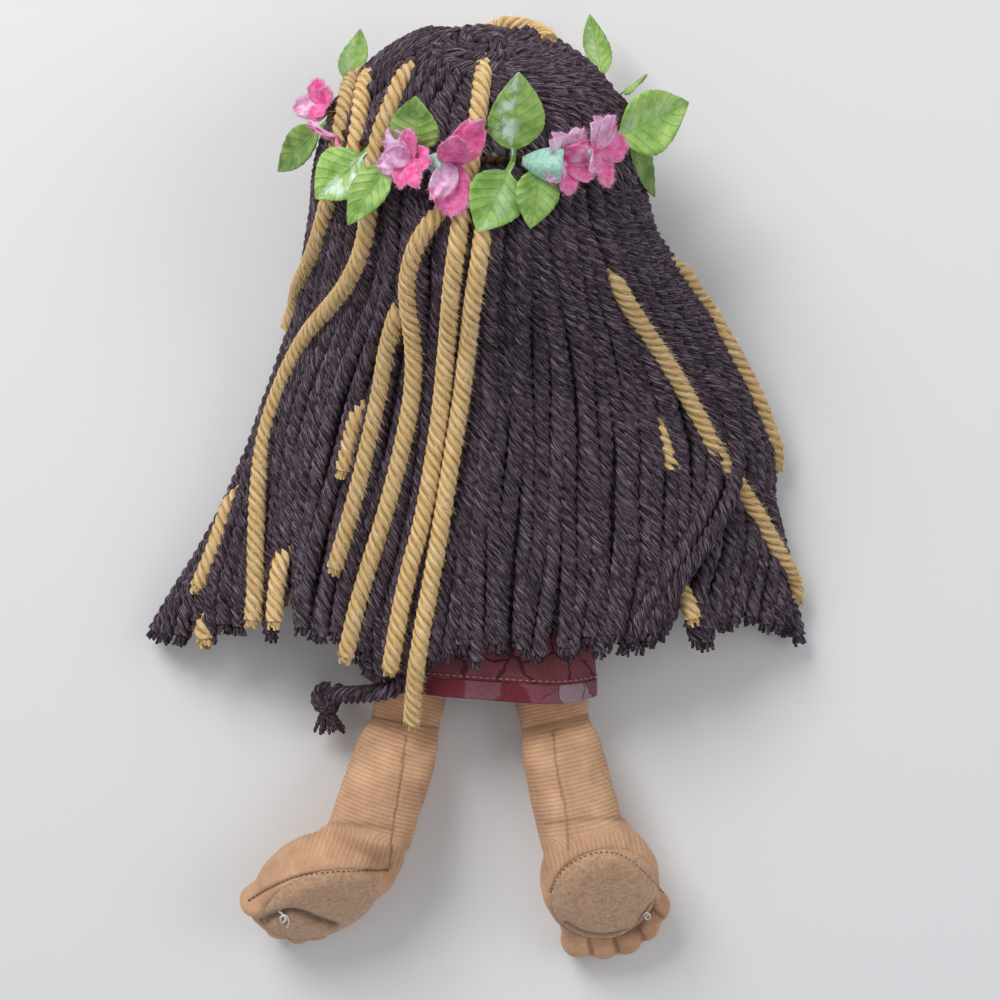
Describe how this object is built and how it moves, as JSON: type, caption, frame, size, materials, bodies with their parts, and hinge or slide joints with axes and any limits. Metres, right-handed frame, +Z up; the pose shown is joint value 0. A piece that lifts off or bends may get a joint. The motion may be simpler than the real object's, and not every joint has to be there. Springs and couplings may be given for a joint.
{
  "type": "rag doll",
  "caption": "Soft rag doll lying face down: yarn hair in a fan, blossom crown, straight dress, stuffed limbs with hinged shoulders, hips and knees.",
  "frame": {"origin": "middle of the footprint of the doll lying face down, on the table", "axes": "+Z up out of the doll's back, +Y towards the head, +X to the doll's own right"},
  "size_m": [0.2136, 0.2976, 0.1074],
  "materials": {
    "skin_knit": "tan brushed knit, sewn and stuffed",
    "sole_cloth": "grainy reverse side of the knit",
    "dress_print": "thin woven cotton with a line print",
    "hem_band": "turned and sewn hem of the same cotton",
    "dark_yarn": "chunky brushed yarn",
    "gold_yarn": "chunky twisted yarn",
    "leaf_cloth": "pressed polyester leaf",
    "petal_cloth": "pressed polyester petal",
    "band_wire": "cloth-covered wire",
    "eye_thread": "satin stitched thread",
    "mouth_thread": "satin stitched thread"
  },
  "bodies": {
    "torso": {"torso": "skin_knit", "neck": "skin_knit", "dress_bodice": "dress_print", "dress_skirt": "dress_print", "dress_hem": "hem_band"},
    "head": {"head": "skin_knit", "eye_left": "eye_thread", "eye_right": "eye_thread", "mouth": "mouth_thread", "hair_cap": "dark_yarn", "crown_band": "band_wire", "leaf_01": "leaf_cloth", "leaf_02": "leaf_cloth", "leaf_03": "leaf_cloth", "leaf_04": "leaf_cloth", "leaf_05": "leaf_cloth", "leaf_06": "leaf_cloth", "leaf_07": "leaf_cloth", "leaf_08": "leaf_cloth", "leaf_09": "leaf_cloth", "leaf_10": "leaf_cloth", "leaf_11": "leaf_cloth", "leaf_12": "leaf_cloth", "flower_01": "petal_cloth", "flower_02": "petal_cloth", "flower_03": "petal_cloth", "flower_04": "petal_cloth", "flower_05": "petal_cloth", "flower_06": "petal_cloth", "flower_07": "petal_cloth", "flower_08": "petal_cloth", "gold_top_01": "gold_yarn", "gold_top_02": "gold_yarn", "gold_top_03": "gold_yarn", "gold_top_05": "gold_yarn", "gold_top_06": "gold_yarn", "gold_top_08": "gold_yarn", "gold_top_11": "gold_yarn"},
    "hair": {"hair_left": "dark_yarn", "hair_back": "dark_yarn", "hair_right": "dark_yarn", "hair_tail": "dark_yarn", "tail_knot": "dark_yarn", "gold_strand_02": "gold_yarn", "gold_strand_03": "gold_yarn", "gold_strand_04": "gold_yarn", "gold_strand_05": "gold_yarn", "gold_strand_06": "gold_yarn", "gold_strand_07": "gold_yarn", "gold_strand_08": "gold_yarn", "gold_strand_09": "gold_yarn", "gold_strand_10": "gold_yarn"},
    "arm_left": {"arm_left": "skin_knit"},
    "arm_right": {"arm_right": "skin_knit"},
    "thigh_left": {"thigh_left": "skin_knit"},
    "thigh_right": {"thigh_right": "skin_knit"},
    "lower_leg_left": {"lower_leg_left": "skin_knit", "sole_left": "sole_cloth"},
    "lower_leg_right": {"lower_leg_right": "skin_knit", "sole_right": "sole_cloth"}
  },
  "joints": [
    {"name": "neck_nod", "type": "hinge", "parent": "torso", "child": "head", "pos_m": [0.00025, 0.04372, 0.0184], "axis": [-1, 0, 0], "range_deg": [-20, 20], "deforming": ["neck", "hair_left", "hair_back", "hair_right", "gold_strand_02", "gold_strand_03", "gold_strand_04", "gold_strand_05", "gold_strand_06", "gold_strand_07", "gold_strand_08", "gold_strand_09", "gold_strand_10"]},
    {"name": "hair_lift", "type": "hinge", "parent": "torso", "child": "hair", "pos_m": [0.00025, 0.04942, 0.058], "axis": [-1, 0, 0], "range_deg": [0, 60], "deforming": ["hair_tail", "tail_knot"]},
    {"name": "shoulder_left", "type": "hinge", "parent": "torso", "child": "arm_left", "pos_m": [-0.03275, 0.03142, 0.0184], "axis": [1, 0, 0], "range_deg": [0, 85]},
    {"name": "hip_left", "type": "hinge", "parent": "torso", "child": "thigh_left", "pos_m": [-0.01775, -0.03798, 0.0184], "axis": [1, 0, 0], "range_deg": [-20, 80], "deforming": ["dress_skirt", "dress_hem"]},
    {"name": "knee_left", "type": "hinge", "parent": "thigh_left", "child": "lower_leg_left", "pos_m": [-0.024, -0.07758, 0.0134], "axis": [-0.986, 0.1668, 0], "range_deg": [-35, 70]},
    {"name": "shoulder_right", "type": "hinge", "parent": "torso", "child": "arm_right", "pos_m": [0.03325, 0.03142, 0.0184], "axis": [1, 0, 0], "range_deg": [0, 85]},
    {"name": "hip_right", "type": "hinge", "parent": "torso", "child": "thigh_right", "pos_m": [0.01825, -0.03798, 0.0184], "axis": [1, 0, 0], "range_deg": [-20, 80]},
    {"name": "knee_right", "type": "hinge", "parent": "thigh_right", "child": "lower_leg_right", "pos_m": [0.0245, -0.07758, 0.0134], "axis": [-0.9744, -0.225, 0], "range_deg": [-35, 70]}
  ]
}
